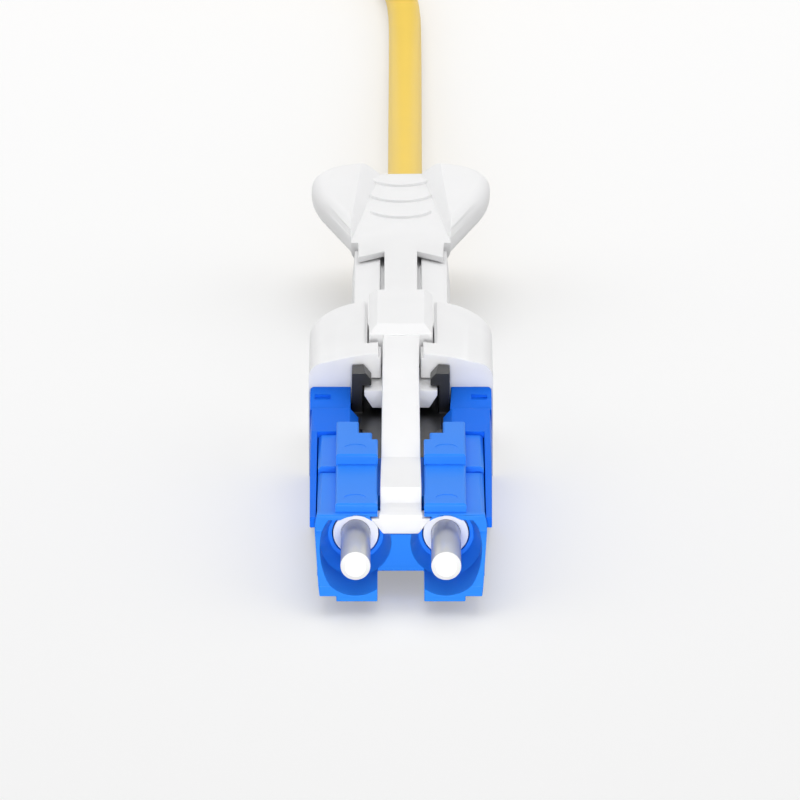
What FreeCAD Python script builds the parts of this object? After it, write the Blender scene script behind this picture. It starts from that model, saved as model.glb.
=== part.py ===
"""Duplex fibre patch cord: two push-pull plugs with ceramic ferrules, one metre of cord between them.

Each plug is drawn in its own frame: X across the ferrules, Y back from the ferrule tips, Z up from the
ferrule axes. The near plug lies at the origin, the far plug is turned about Z at the end of the cord.
"""

import FreeCAD, Part
import math
import os
import Sketcher
from FreeCAD import Placement, Rotation, Vector
from types import SimpleNamespace

os.makedirs("parts", exist_ok=True)

# Driving sizes in millimetres, under the piece that they belong to
DRIVING = {
    "fits": {
        "slide_gap": 0.07,
        "fit_gap": 0.05,
        "bond_gap": 0.01,
        "loose_gap": 0.14,
        "tab_travel": 1.5,
        "ferrule_travel": 0.6,
    },
    "whole plug": {
        "pitch": 3.8,
        "axis_height": 2.3,
        "plug_length": 45.0,
    },
    "ferrule and flange": {
        "ferrule_radius": 0.625,
        "ferrule_length": 6.6,
        "ferrule_tip_radius": 0.44,
        "ferrule_tip_chamfer": 0.12,
        "glue_groove_radius": 0.45,
        "glue_groove_length": 0.6,
        "flange_front": 3.97,
        "nose_radius": 0.95,
        "nose_length": 1.68,
        "collar_radius": 1.2,
        "collar_length": 1.0,
        "hub_radius": 0.6,
        "hub_room": 1.4,
    },
    "spring and fibre": {
        "spring_wire": 0.3,
        "spring_turns": 6,
        "fibre_radius": 0.15,
        "fibre_depth": 2.2,
    },
    "front body": {
        "front_plane": 2.9,
        "lip_thickness": 0.38,
        "lip_top": 1.22,
        "lip_half": 3.63,
        "lip_chamfer": 0.5,
        "lip_round": 0.1,
        "core_half": 3.53,
        "core_depth": 1.54,
        "core_rear": 13.4,
        "ledge_height": 1.15,
        "bore_radius": 1.5,
        "bore_ceiling": 0.97,
        "sleeve_room": 1.175,
        "leg_front": 0.55,
        "leg_inner": 0.98,
        "leg_outer": 3.41,
        "leg_drop": 1.06,
        "leg_rise": 0.5,
        "sole_outer": 2.71,
        "sole_depth": 0.23,
        "sole_rear": 10.0,
        "underslot_drop": 1.3,
        "latch_outer": 2.76,
        "latch_low": 1.59,
        "latch_high": 2.04,
        "latch_step": 8.04,
        "latch_rear": 12.17,
        "latch_mid_rear": 10.8,
        "latch_mid_inner": 1.8,
        "latch_inner_rear": 10.0,
        "latch_inner_step": 1.23,
        "mark_radius": 0.48,
        "mark_depth": 0.02,
        "mark_out": 1.93,
        "mark_low": 3.96,
        "mark_high": 8.86,
        "high_ledge": 1.35,
        "high_ledge_front": 8.42,
        "high_ledge_rear": 12.28,
        "ledge_edge": 0.13,
        "shelf_room": 0.93,
        "notch_length": 0.24,
        "notch_depth": 0.09,
        "edge_round": 0.12,
    },
    "outer housing": {
        "sleeve_half": 3.95,
        "sleeve_front_half": 3.84,
        "sleeve_top_half": 3.84,
        "sleeve_bend": 0.15,
        "sleeve_depth": 2.25,
        "sleeve_rear": 17.0,
        "sleeve_wall": 0.75,
        "arm_nose": 0.5,
        "arm_front_top": 0.95,
        "arm_floor_front": 11.2,
        "ear_front": 12.34,
        "plate_top": 1.5,
        "plate_step": 15.28,
        "step_half": 3.93,
        "step_low": 1.42,
        "step_top": 1.865,
        "step_bevel": 0.1,
        "slope_half": 2.2,
        "channel_half": 1.82,
        "pick_slot_inner": 3.04,
        "pick_slot_width": 0.7,
        "pick_slot_front": 16.01,
        "pick_slot_length": 0.4,
        "pick_slot_depth": 0.3,
    },
    "back body": {
        "spigot_length": 1.4,
        "back_top": 1.0,
        "shelf_bottom": 0.97,
        "shelf_top": 1.12,
        "back_rear": 16.9,
        "hook_outer": 2.12,
        "hook_beak_inner": 1.28,
        "hook_peak_half": 1.62,
        "hook_peak": 2.94,
        "hook_outer_top": 2.9,
        "hook_front": 16.0,
        "hook_front_top": 2.85,
        "hook_chamfer": 0.4,
        "tail_half": 2.6,
        "tail_depth": 1.4,
        "tail_rear": 21.4,
        "manifold_height": 1.0,
        "manifold_wall": 0.3,
        "post_radius": 1.0,
        "post_bore": 0.65,
        "post_rear": 25.5,
    },
    "crimp sleeve": {
        "crimp_wall": 0.33,
        "crimp_neck": 2.3,
    },
    "rear housing": {
        "shoulder_half": 4.0,
        "shoulder_rear": 24.55,
        "shoulder_side": 2.75,
        "shoulder_top": 3.43,
        "shoulder_corner": 2.3,
        "shoulder_round": 0.7,
        "shoulder_wall": 0.5,
        "slot_rim": 0.12,
        "slot_rim_depth": 0.25,
        "shoulder_back_wall": 1.9,
    },
    "strain boot": {
        "boot_foot_half": 2.26,
        "boot_half": 2.21,
        "boot_top_half": 2.07,
        "boot_bend": 0.5,
        "boot_top": 2.0,
        "boot_rear": 34.6,
        "boot_spigot": 1.75,
        "boot_spigot_length": 1.7,
        "boot_tail_radius": 1.3,
        "boot_tail_length": 5.2,
    },
    "pull tab": {
        "bar_half": 0.87,
        "bar_waist_half": 0.79,
        "bar_nose_top": 1.2,
        "bar_lip_rear": 4.08,
        "bar_lip_top": 1.32,
        "bar_flat_front": 4.84,
        "bar_flat_top": 1.75,
        "bar_flat_rear": 8.52,
        "bar_ramp_rear": 15.2,
        "bar_ramp_top": 3.15,
        "bar_top": 3.5,
        "head_front": 2.75,
        "head_length": 1.1,
        "head_top_half": 1.25,
        "head_bottom_half": 0.74,
        "head_bottom": 0.43,
        "head_step_half": 0.91,
        "head_step_length": 0.36,
        "head_step_top": 1.27,
        "wing_half": 1.58,
        "wing_bottom": 1.38,
        "wing_top": 2.18,
        "wing_front": 15.6,
        "wing_rear": 18.5,
        "wing_flat": 1.23,
        "wing_chamfer": 0.57,
        "block_front": 19.0,
        "block_rear": 24.3,
        "block_half": 1.39,
        "block_bottom": 2.15,
        "block_side_top": 3.55,
        "block_crown_half": 1.03,
        "block_crown_slope": 0.8,
        "block_top": 3.78,
        "strip_half": 0.735,
        "strip_gap": 0.19,
        "strip_bottom": 1.78,
        "strip_top": 2.35,
        "tongue_front": 32.72,
        "tongue_middle": 33.54,
        "tongue_half": 1.92,
        "grip_front": 34.7,
        "grip_neck_half": 2.25,
        "grip_neck_rear": 35.1,
        "grip_half": 4.09,
        "grip_flare_half": 3.5,
        "grip_flare_rear": 39.1,
        "grip_flank_radius": 10.1,
        "grip_lobe_front": 42.5,
        "grip_lobe_radius": 2.5,
        "grip_flat_half": 1.59,
        "grip_bottom": 1.4,
        "grip_side_top": 2.84,
        "saddle_front_half": 2.39,
        "saddle_front_floor": 2.27,
        "saddle_fall": 0.19,
        "saddle_rear_half": 1.77,
        "saddle_rear_floor": 0.96,
        "grip_round": 0.6,
        "grip_foot_round": 0.6,
        "rib_half": 1.42,
        "rib_radius": 1.6,
        "rib_height": 0.14,
        "rib_first": 39.1,
        "rib_spacing": 2.38,
    },
    "cord": {
        "cord_radius": 0.8,
        "far_tip": 165.3,
        "hank_centre": 87.5,
        "hank_straight": 18.0,
        "hank_fold_radius": 4.8,
        "hank_layers": 7,
        "hank_columns": 2,
        "tie_width": 5.0,
        "tie_thickness": 0.4,
    },
}

doc = FreeCAD.newDocument("fibre_patch_cord")
sheet = doc.addObject("Spreadsheet::Sheet", "sizes")


def fill_sheet():
    """Write the heading, name and value of each driving size, and give the value's cell its alias."""
    row = 1
    for heading, values in DRIVING.items():
        sheet.set(f"A{row}", heading)
        row += 1
        for alias, value in values.items():
            sheet.set(f"A{row}", alias)
            sheet.set(f"B{row}", str(value))
            sheet.setAlias(f"B{row}", alias)
            row += 1
    doc.recompute()


class Size:
    """A length with the sheet formula that gives it, so that sums of sizes stay tied to the sheet."""

    def __init__(self, value, formula):
        self.value = value
        self.formula = formula

    def join(self, sign, other, value):
        return Size(value, f"({self.formula} {sign} {other.formula})")

    def __add__(self, other):
        other = as_size(other)
        return self.join("+", other, self.value + other.value)

    def __sub__(self, other):
        other = as_size(other)
        return self.join("-", other, self.value - other.value)

    def __mul__(self, other):
        other = as_size(other)
        return self.join("*", other, self.value * other.value)

    def __truediv__(self, other):
        other = as_size(other)
        return self.join("/", other, self.value / other.value)

    def __radd__(self, other):
        return as_size(other) + self

    def __rsub__(self, other):
        return as_size(other) - self

    def __rmul__(self, other):
        return as_size(other) * self

    def __neg__(self):
        return as_size(0) - self


def as_size(value):
    """A plain number as a size; a size as it is."""
    return value if isinstance(value, Size) else Size(float(value), str(float(value)))


def leg_of(hypotenuse, other):
    """The other leg of a right-angled triangle."""
    square = hypotenuse * hypotenuse - other * other
    return Size(math.sqrt(square.value), f"sqrt({square.formula})")


def bind(target, path, value):
    """Tie a property, or a part of one, to the sheet."""
    target.setExpression(path, as_size(value).formula)


fill_sheet()
S = SimpleNamespace(
    **{
        alias: Size(float(sheet.get(alias)), f"sizes.{alias}")
        for values in DRIVING.values()
        for alias in values
    }
)

# Places that several pieces share, worked out from the driving sizes
FLOOR = -S.axis_height
MIDDLE = S.plug_length / 2
COLLAR_FRONT = S.flange_front + S.nose_length
COLLAR_REAR = COLLAR_FRONT + S.collar_length
PLATE_FRONT = S.core_rear + S.fit_gap
SPRING_SEAT = PLATE_FRONT - S.spigot_length
HUB_REAR = SPRING_SEAT - S.ferrule_travel - S.hub_room
LIP_REAR = S.front_plane + S.lip_thickness
CHANNEL_HALF = S.head_step_half + S.slide_gap
HEAD_REAR = S.head_front + S.head_length
GROOVE_REAR = HEAD_REAR + S.tab_travel + S.slide_gap
CAVITY_HALF = S.core_half + S.fit_gap
BAR_BOTTOM = S.ledge_height + S.slide_gap
BEAK_BOTTOM = S.wing_top + S.slide_gap
HOOK_INNER = S.wing_half + S.slide_gap
BACK_ROOM_TOP = S.back_top + S.fit_gap
BACK_ROOM_REAR = S.shoulder_rear - S.shoulder_back_wall
CRIMP_FRONT = BACK_ROOM_REAR + S.fit_gap
CRIMP_BORE = S.post_radius + S.bond_gap
CRIMP_RADIUS = CRIMP_BORE + S.crimp_wall
CRIMP_STEP = S.post_rear + S.crimp_wall
CRIMP_REAR = CRIMP_STEP + S.crimp_neck
BOOT_SOCKET = CRIMP_RADIUS + S.fit_gap
BOOT_TAIL_REAR = S.boot_rear + S.boot_tail_length
STRIP_CHANNEL = S.strip_bottom - S.slide_gap
CORD_BORE = S.cord_radius + S.loose_gap
SIDES = {"left": -1, "right": 1}

nodes = {}


class Plug:
    """One end of the cord: the prefix of its nodes' names and where its frame lies."""

    def __init__(self, prefix, turned):
        self.prefix = prefix
        self.turned = turned

    def place(self, target, x=0, y=0, own=None):
        """Put a piece that is drawn at x, y of the plug's frame where the plug lies."""
        turn = Rotation(Vector(0, 0, 1), 180 if self.turned else 0)
        target.Placement = Placement(Vector(), turn * (own or Rotation()))
        bind(target, "Placement.Base.x", -as_size(x) if self.turned else x)
        bind(target, "Placement.Base.y", S.far_tip - y if self.turned else y - MIDDLE)
        bind(target, "Placement.Base.z", S.axis_height)


def keep(piece, label):
    """Note a finished sub-part under the name of its file."""
    piece.Label = label
    nodes[label] = piece


def new_body(label, plug=None, x=0, y=0):
    """An empty body, in a plug's frame or in the part's own."""
    body = doc.addObject("PartDesign::Body", label)
    if plug:
        plug.place(body, x, y)
    keep(body, label)
    return body


# Sketches

def new_sketch(body, name, role, offset):
    """A sketch on one of the body's own planes, moved along the plane's normal."""
    sketch = body.newObject("Sketcher::SketchObject", name)
    plane = next(f for f in body.Origin.OriginFeatures if f.Role == role)
    sketch.AttachmentSupport = [(plane, "")]
    sketch.MapMode = "FlatFace"
    bind(sketch, "AttachmentOffset.Base.z", offset)
    return sketch


def constrain(sketch, value, kind, *where):
    """A dimension that takes its value from the sheet."""
    value = as_size(value)
    index = sketch.addConstraint(Sketcher.Constraint(kind, *where, value.value))
    sketch.setExpression(f"Constraints[{index}]", value.formula)


def arc_between(start, end, radius, side):
    """The arc from start to end that bulges left (1) or right (-1), and which of its ends comes first."""
    chord = end - start
    left = Vector(-chord.y, chord.x, 0).normalize()
    reach = math.sqrt(max(radius**2 - (chord.Length / 2) ** 2, 0))
    centre = (start + end) / 2 - left * reach * side
    first, last = (end, start) if side > 0 else (start, end)
    angles = [math.atan2(p.y - centre.y, p.x - centre.x) for p in (first, last)]
    if angles[1] < angles[0]:
        angles[1] += 2 * math.pi
    arc = Part.ArcOfCircle(Part.Circle(centre, Vector(0, 0, 1), radius), *angles)
    return arc, ((2, 1) if side > 0 else (1, 2))


def outline(sketch, path):
    """A closed outline. A corner is (u, v), or (u, v, radius, side) where an arc leads to the next one."""
    corners = [Vector(as_size(p[0]).value, as_size(p[1]).value, 0) for p in path]
    base = sketch.GeometryCount
    ends = []
    for i, item in enumerate(path):
        start, end = corners[i], corners[(i + 1) % len(path)]
        if len(item) == 2:
            edge, order = Part.LineSegment(start, end), (1, 2)
        else:
            edge, order = arc_between(start, end, as_size(item[2]).value, item[3])
        sketch.addGeometry(edge)
        ends.append(order)
    for i in range(len(path)):
        j = (i + 1) % len(path)
        sketch.addConstraint(
            Sketcher.Constraint("Coincident", base + i, ends[i][1], base + j, ends[j][0])
        )
    for i, item in enumerate(path):
        constrain(sketch, item[0], "DistanceX", -1, 1, base + i, ends[i][0])
        constrain(sketch, item[1], "DistanceY", -1, 1, base + i, ends[i][0])
        if len(item) > 2:
            constrain(sketch, item[2], "Radius", base + i)


def circle(sketch, u, v, radius):
    """A full circle about u, v."""
    u, v = as_size(u), as_size(v)
    ring = Part.Circle(Vector(u.value, v.value, 0), Vector(0, 0, 1), as_size(radius).value)
    index = sketch.addGeometry(ring)
    constrain(sketch, u, "DistanceX", -1, 1, index, 3)
    constrain(sketch, v, "DistanceY", -1, 1, index, 3)
    constrain(sketch, radius, "Radius", index)


def mirrored(path):
    """The same outline on the other side of the plug's middle plane."""
    return [(-as_size(p[0]), p[1], *((p[2], -p[3]) if len(p) > 2 else ())) for p in path]


def box(u0, u1, v0, v1):
    """The outline of a rectangle."""
    return [(u0, v0), (u1, v0), (u1, v1), (u0, v1)]


# Features

def extrude(body, sketch, length, cut, towards_normal):
    """Pad or pocket a sketch, towards its normal or away from it."""
    kind = "PartDesign::Pocket" if cut else "PartDesign::Pad"
    feature = body.newObject(kind, f"{sketch.Name}_{'cut' if cut else 'pad'}")
    feature.Profile = sketch
    feature.Reversed = towards_normal if cut else not towards_normal
    bind(feature, "Length", length)
    body.Tip = feature
    return feature


def along_y(body, name, y0, y1, *paths, rings=(), cut=False):
    """Outlines in X and Z, and rings given as x, z, radius, taken from y0 back to y1."""
    sketch = new_sketch(body, name, "XZ_Plane", -as_size(y0))
    for path in paths:
        outline(sketch, path)
    for ring in rings:
        circle(sketch, *ring)
    return extrude(body, sketch, as_size(y1) - y0, cut, False)


def along_x(body, name, x0, x1, *paths, cut=False):
    """Outlines in Y and Z, taken from x0 to x1."""
    sketch = new_sketch(body, name, "YZ_Plane", x0)
    for path in paths:
        outline(sketch, path)
    return extrude(body, sketch, as_size(x1) - x0, cut, True)


def along_z(body, name, z0, z1, *paths, cut=False):
    """Outlines in X and Y, taken from z0 up to z1."""
    sketch = new_sketch(body, name, "XY_Plane", z0)
    for path in paths:
        outline(sketch, path)
    return extrude(body, sketch, as_size(z1) - z0, cut, True)


def lofted_cut(body, name, y0, path0, y1, path1):
    """A cut that goes straight from one outline in X and Z, at y0, to another at y1."""
    ends = []
    for end, y, path in (("front", y0, path0), ("rear", y1, path1)):
        sketch = new_sketch(body, f"{name}_{end}", "XZ_Plane", -as_size(y))
        outline(sketch, path)
        ends.append(sketch)
    feature = body.newObject("PartDesign::SubtractiveLoft", f"{name}_loft")
    feature.Profile = ends[0]
    feature.Sections = [ends[1]]
    feature.Ruled = True
    body.Tip = feature


def turned(body, name, path):
    """A turned piece: an outline in Y and radius, revolved about the Y axis."""
    sketch = new_sketch(body, name, "YZ_Plane", 0)
    outline(sketch, path)
    feature = body.newObject("PartDesign::Revolution", f"{name}_turn")
    feature.Profile = sketch
    feature.ReferenceAxis = (sketch, ["H_Axis"])
    feature.Angle = 360
    body.Tip = feature


def round_edges(body, name, radius, wanted, kind="PartDesign::Fillet"):
    """Fillet or chamfer the edges of the body that wanted picks."""
    doc.recompute()
    base = body.Tip
    edges = [f"Edge{i}" for i, edge in enumerate(base.Shape.Edges, 1) if wanted(edge)]
    feature = body.newObject(kind, name)
    feature.Base = (base, edges)
    bind(feature, "Size" if kind.endswith("Chamfer") else "Radius", radius)
    body.Tip = feature


def same(a, b):
    """Whether two lengths are the same place."""
    return abs(as_size(a).value - as_size(b).value) < 0.001


def runs_along(edge, axis):
    """Whether an edge is straight and parallel to an axis."""
    if edge.Curve.TypeId != "Part::GeomLine":
        return False
    return abs(edge.tangentAt(edge.FirstParameter).dot(axis)) > 0.999


def ends_at(edge, y=None, z=None):
    """Whether a whole edge lies at the given y or z."""
    spots = [v.Point for v in edge.Vertexes]
    return all((y is None or same(p.y, y)) and (z is None or same(p.z, z)) for p in spots)


# Ferrules, flanges, springs and fibres

def make_ferrule(plug, side):
    body = new_body(f"{plug.prefix}ferrule_{side}", plug, S.pitch / 2 * SIDES[side])
    groove_front = S.flange_front - S.bond_gap
    groove_rear = groove_front + S.glue_groove_length
    turned(
        body,
        "rod",
        [
            (0, 0),
            (0, S.ferrule_tip_radius),
            (S.ferrule_tip_chamfer, S.ferrule_radius),
            (groove_front, S.ferrule_radius),
            (groove_front, S.glue_groove_radius),
            (groove_rear, S.glue_groove_radius),
            (groove_rear, S.ferrule_radius),
            (S.ferrule_length, S.ferrule_radius),
            (S.ferrule_length, 0),
        ],
    )


def make_flange(plug, side):
    body = new_body(f"{plug.prefix}ferrule_flange_{side}", plug, S.pitch / 2 * SIDES[side])
    seat = S.ferrule_radius + S.bond_gap
    socket_rear = S.ferrule_length + S.bond_gap
    fibre_way = S.fibre_radius + S.fit_gap
    turned(
        body,
        "holder",
        [
            (S.flange_front, seat),
            (S.flange_front, S.nose_radius),
            (COLLAR_FRONT, S.nose_radius),
            (COLLAR_FRONT, S.collar_radius),
            (COLLAR_REAR, S.collar_radius),
            (COLLAR_REAR, S.hub_radius),
            (HUB_REAR, S.hub_radius),
            (HUB_REAR, fibre_way),
            (socket_rear, fibre_way),
            (socket_rear, seat),
        ],
    )


def make_spring(plug, side):
    """A coil between the flange's collar and the back body, around the flange's tube."""
    label = f"{plug.prefix}ferrule_spring_{side}"
    mean_radius = S.hub_radius + S.slide_gap + S.spring_wire / 2
    length = SPRING_SEAT - COLLAR_REAR - S.spring_wire
    helix = doc.addObject("Part::Helix", f"{label}_helix")
    bind(helix, "Radius", mean_radius)
    bind(helix, "Height", length)
    bind(helix, "Pitch", length / S.spring_turns)
    wire = doc.addObject("Part::RegularPolygon", f"{label}_wire")
    wire.Polygon = 4
    wire.Placement = Placement(Vector(), Rotation(Vector(1, 0, 0), 90))
    bind(wire, "Circumradius", S.spring_wire / 2)
    bind(wire, "Placement.Base.x", mean_radius)
    doc.recompute()
    coil = doc.addObject("Part::Sweep", label)
    coil.Sections = [wire]
    coil.Spine = (helix, [f"Edge{i}" for i in range(1, len(helix.Shape.Edges) + 1)])
    coil.Solid = True
    coil.Frenet = True
    axis_back = Rotation(Vector(1, 0, 0), -90)
    plug.place(coil, S.pitch / 2 * SIDES[side], COLLAR_REAR + S.spring_wire / 2, axis_back)
    keep(coil, label)


def tube(label, route, radius):
    """A round tube along straight runs with a tangent arc at each inner point, as large as the runs allow."""
    arc_share = 0.45
    edges = []
    radii = []
    last = route[0]
    for before, corner, after in zip(route, route[1:], route[2:]):
        back, ahead = before - corner, after - corner
        reach = arc_share * min(back.Length, ahead.Length)
        back.normalize()
        ahead.normalize()
        half_turn = (math.pi - back.getAngle(ahead)) / 2
        radii.append(reach / math.tan(half_turn))
        into, out = corner + back * reach, corner + ahead * reach
        to_centre = (back + ahead).normalize()
        middle = corner + to_centre * (radii[-1] / math.cos(half_turn) - radii[-1])
        edges.append(Part.LineSegment(last, into).toShape())
        edges.append(Part.Arc(into, middle, out).toShape())
        last = out
    edges.append(Part.LineSegment(last, route[-1]).toShape())
    path = Part.Wire(edges)
    section = Part.Wire([Part.Circle(route[0], route[1] - route[0], radius).toShape()])
    solid = path.makePipeShell([section], True, False)
    piece = doc.addObject("Part::Feature", label)
    piece.Shape = solid
    keep(piece, label)
    swept = math.pi * radius**2 * path.Length
    print(f"{label}: length {path.Length:.1f}, volume {solid.Volume / swept:.4f} of section times length,")
    print(f"  radii {', '.join(f'{r:.1f}' for r in radii)}")
    return piece


def make_fibre(plug, side):
    """A buffered fibre from the crimp post, through the back body, into the flange's tube."""
    sign = SIDES[side]
    outside = sign * S.pitch.value / 2
    inside = sign * (S.post_bore.value - S.fibre_radius.value) / 2
    start = (HUB_REAR - S.fibre_depth).value
    spread = (S.back_rear - S.spigot_length).value
    route = [
        Vector(outside, start, 0),
        Vector(outside, spread, 0),
        Vector(inside, S.tail_rear.value, 0),
        Vector(inside, (S.post_rear - S.fibre_radius).value, 0),
    ]
    piece = tube(f"{plug.prefix}fibre_{side}", route, S.fibre_radius.value)
    plug.place(piece)


# Front body

def shelf_plan(gap, rear):
    """The plan of the back body's shelf between the latch blocks, set in by a gap."""
    half = [
        (S.latch_inner_step - gap, S.latch_inner_rear + gap),
        (S.latch_inner_step - gap, S.latch_mid_rear + gap),
        (S.latch_mid_inner - gap, S.latch_mid_rear + gap),
        (S.latch_mid_inner - gap, rear),
    ]
    return half + [(-x, y) for x, y in reversed(half)]


def make_front_body(plug):
    body = new_body(f"{plug.prefix}front_body", plug)
    bottom = -S.core_depth
    axis = S.pitch / 2
    along_y(
        body, "core", S.front_plane, S.core_rear, box(-S.core_half, S.core_half, bottom, S.ledge_height)
    )
    lip = [
        (-S.leg_outer, bottom),
        (S.leg_outer, bottom),
        (S.lip_half, S.leg_rise),
        (S.lip_half, S.lip_top - S.lip_chamfer),
        (S.core_half, S.lip_top),
        (-S.core_half, S.lip_top),
        (-S.lip_half, S.lip_top - S.lip_chamfer),
        (-S.lip_half, S.leg_rise),
    ]
    along_y(body, "lip", S.front_plane, LIP_REAR, lip)

    def lip_rim(edge):
        return ends_at(edge, y=S.front_plane, z=S.lip_top)

    round_edges(body, "lip_round", S.lip_round, lip_rim)
    leg = [
        (S.leg_inner, bottom),
        (S.leg_outer, bottom),
        (S.lip_half, S.leg_rise),
        (S.leg_inner, S.leg_rise),
    ]
    along_y(body, "legs", S.leg_front, LIP_REAR, leg, mirrored(leg))
    over_leg = [
        (S.leg_front, -S.leg_drop),
        (S.front_plane, S.leg_rise),
        (S.leg_front, S.leg_rise),
    ]
    along_x(body, "over_legs", -S.lip_half, S.lip_half, over_leg, cut=True)
    sole = box(S.leg_inner, S.sole_outer, bottom - S.sole_depth, -S.leg_drop)
    along_y(body, "sole", S.leg_front, S.sole_rear, sole, mirrored(sole))
    high_ledge = box(S.latch_mid_inner, S.core_half, 0, S.high_ledge)
    along_y(body, "high_ledge", S.high_ledge_front, S.high_ledge_rear, high_ledge, mirrored(high_ledge))
    low_plan = [
        (CHANNEL_HALF, LIP_REAR),
        (S.latch_outer, LIP_REAR),
        (S.latch_outer, S.latch_step),
        (CHANNEL_HALF, S.latch_step),
    ]
    along_z(body, "low_latch", 0, S.latch_low, low_plan, mirrored(low_plan))
    high_plan = [
        (CHANNEL_HALF, S.latch_step),
        (S.latch_outer, S.latch_step),
        (S.latch_outer, S.latch_rear),
        (S.latch_mid_inner, S.latch_rear),
        (S.latch_mid_inner, S.latch_mid_rear),
        (S.latch_inner_step, S.latch_mid_rear),
        (S.latch_inner_step, S.latch_inner_rear),
        (CHANNEL_HALF, S.latch_inner_rear),
    ]
    along_z(body, "high_latch", 0, S.latch_high, high_plan, mirrored(high_plan))

    def latch_edge(edge):
        along = runs_along(edge, Vector(0, 1, 0)) or runs_along(edge, Vector(1, 0, 0))
        foot = ends_at(edge, y=S.latch_step, z=S.latch_low)
        return along and not foot and (ends_at(edge, z=S.latch_low) or ends_at(edge, z=S.latch_high))

    round_edges(body, "latch_round", S.edge_round, latch_edge)

    def clipped_ring(x, radius):
        """A circle about x, cut flat at the bore's ceiling."""
        reach = leg_of(radius, S.bore_ceiling)
        return [
            (x - reach, S.bore_ceiling, radius, -1),
            (x, -radius, radius, -1),
            (x + reach, S.bore_ceiling),
        ]

    troughs = [clipped_ring(axis * sign, S.bore_radius) for sign in SIDES.values()]
    along_y(body, "trough", 0, S.front_plane, *troughs, cut=True)
    for side, sign in SIDES.items():
        mouth = clipped_ring(axis * sign, S.bore_radius)
        throat = clipped_ring(axis * sign, S.sleeve_room)
        lofted_cut(body, f"bore_{side}", S.front_plane, mouth, S.flange_front, throat)
    rings = [(axis * sign, 0) for sign in SIDES.values()]
    sleeve_rooms = [(*centre, S.sleeve_room) for centre in rings]
    nose_holes = [(*centre, S.nose_radius + S.fit_gap) for centre in rings]
    collar_bores = [(*centre, S.collar_radius + S.slide_gap) for centre in rings]
    along_y(body, "sleeve_room", S.front_plane, S.flange_front, rings=sleeve_rooms, cut=True)
    along_y(body, "nose_hole", S.flange_front - S.fit_gap, COLLAR_FRONT, rings=nose_holes, cut=True)
    along_y(body, "collar_bore", COLLAR_FRONT - S.bond_gap, PLATE_FRONT, rings=collar_bores, cut=True)
    groove_bottom = S.head_bottom - S.slide_gap
    groove = [
        (-S.head_bottom_half - S.slide_gap, groove_bottom),
        (S.head_bottom_half + S.slide_gap, groove_bottom),
        (S.head_top_half + S.slide_gap, S.ledge_height),
        (-S.head_top_half - S.slide_gap, S.ledge_height),
    ]
    along_y(body, "head_groove", S.leg_front, GROOVE_REAR, groove, cut=True)
    bar_way = box(-CHANNEL_HALF, CHANNEL_HALF, S.head_bottom, S.lip_top)
    along_y(body, "bar_way", S.front_plane, LIP_REAR, bar_way, cut=True)
    along_z(body, "shelf_room", S.shelf_room, S.ledge_height, shelf_plan(0, S.core_rear), cut=True)
    bevel_foot = S.core_half - S.ledge_edge
    for level, top, y0, y1 in (
        ("low", S.ledge_height, LIP_REAR, S.high_ledge_front),
        ("high", S.high_ledge, S.high_ledge_front, S.high_ledge_rear),
    ):
        bevel = [(bevel_foot, top), (S.core_half, top - S.ledge_edge), (S.core_half, top)]
        along_y(body, f"{level}_ledge_edge", y0, y1, bevel, mirrored(bevel), cut=True)
    underslot = box(-S.leg_inner, S.leg_inner, bottom - S.sole_depth, -S.underslot_drop)
    along_y(body, "underslot", S.leg_front, S.sole_rear, underslot, cut=True)
    notch = box(S.latch_outer, S.lip_half, S.ledge_height - S.notch_depth, S.ledge_height + S.notch_depth)
    notch_front = S.high_ledge_front - S.notch_length
    along_y(body, "ledge_notch", notch_front, S.high_ledge_front, notch, mirrored(notch), cut=True)
    for level, y, top in (("low", S.mark_low, S.latch_low), ("high", S.mark_high, S.latch_high)):
        sketch = new_sketch(body, f"{level}_marks", "XY_Plane", top - S.mark_depth)
        for sign in SIDES.values():
            circle(sketch, S.mark_out * sign, y, S.mark_radius)
        extrude(body, sketch, S.mark_depth, True, True)


# Outer housing

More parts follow.
